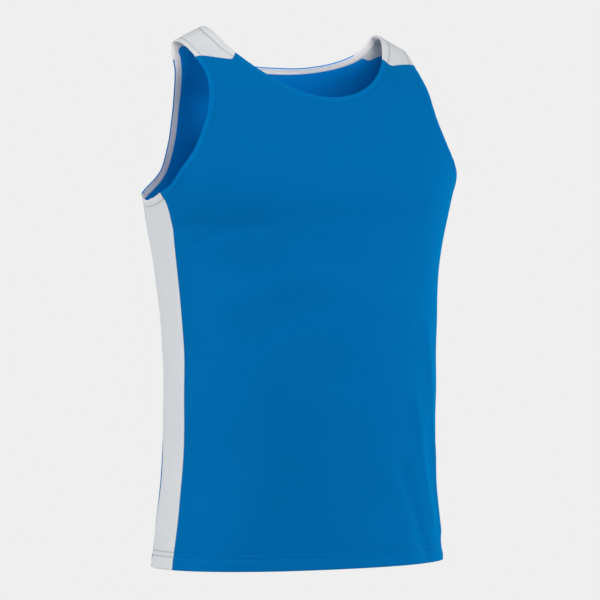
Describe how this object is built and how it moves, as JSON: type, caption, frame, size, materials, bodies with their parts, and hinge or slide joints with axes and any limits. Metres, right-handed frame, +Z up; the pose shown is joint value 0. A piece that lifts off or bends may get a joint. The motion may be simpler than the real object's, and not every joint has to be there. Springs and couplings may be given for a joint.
{
  "type": "running singlet",
  "caption": "Sleeveless running singlet of smooth knit, filled out as worn: blue front and back, white side panels and shoulder yokes, taped neck and armholes, open neck, armholes and hem.",
  "frame": {"origin": "midway between the middles of the two shoulder straps at their crowns, where the wearer's shoulders hold the garment", "axes": "+Z up from hem to shoulders, -Y out of the chest (front), +X to the wearer's left"},
  "size_m": [0.4236, 0.2385, 0.6838],
  "materials": {
    "body_knit": "smooth polyester interlock knit with a soft sheen, royal blue",
    "trim_knit": "the same knit in cool white",
    "inner_tape": "matt white binding tape"
  },
  "bodies": {
    "root": {"front_panel": "body_knit", "back_panel": "body_knit", "side_panel_right": "trim_knit", "side_panel_left": "trim_knit", "shoulder_yoke_right": "trim_knit", "shoulder_yoke_left": "trim_knit", "neck_tape": "inner_tape", "armhole_tape_right": "inner_tape", "armhole_tape_left": "inner_tape"}
  },
  "joints": []
}
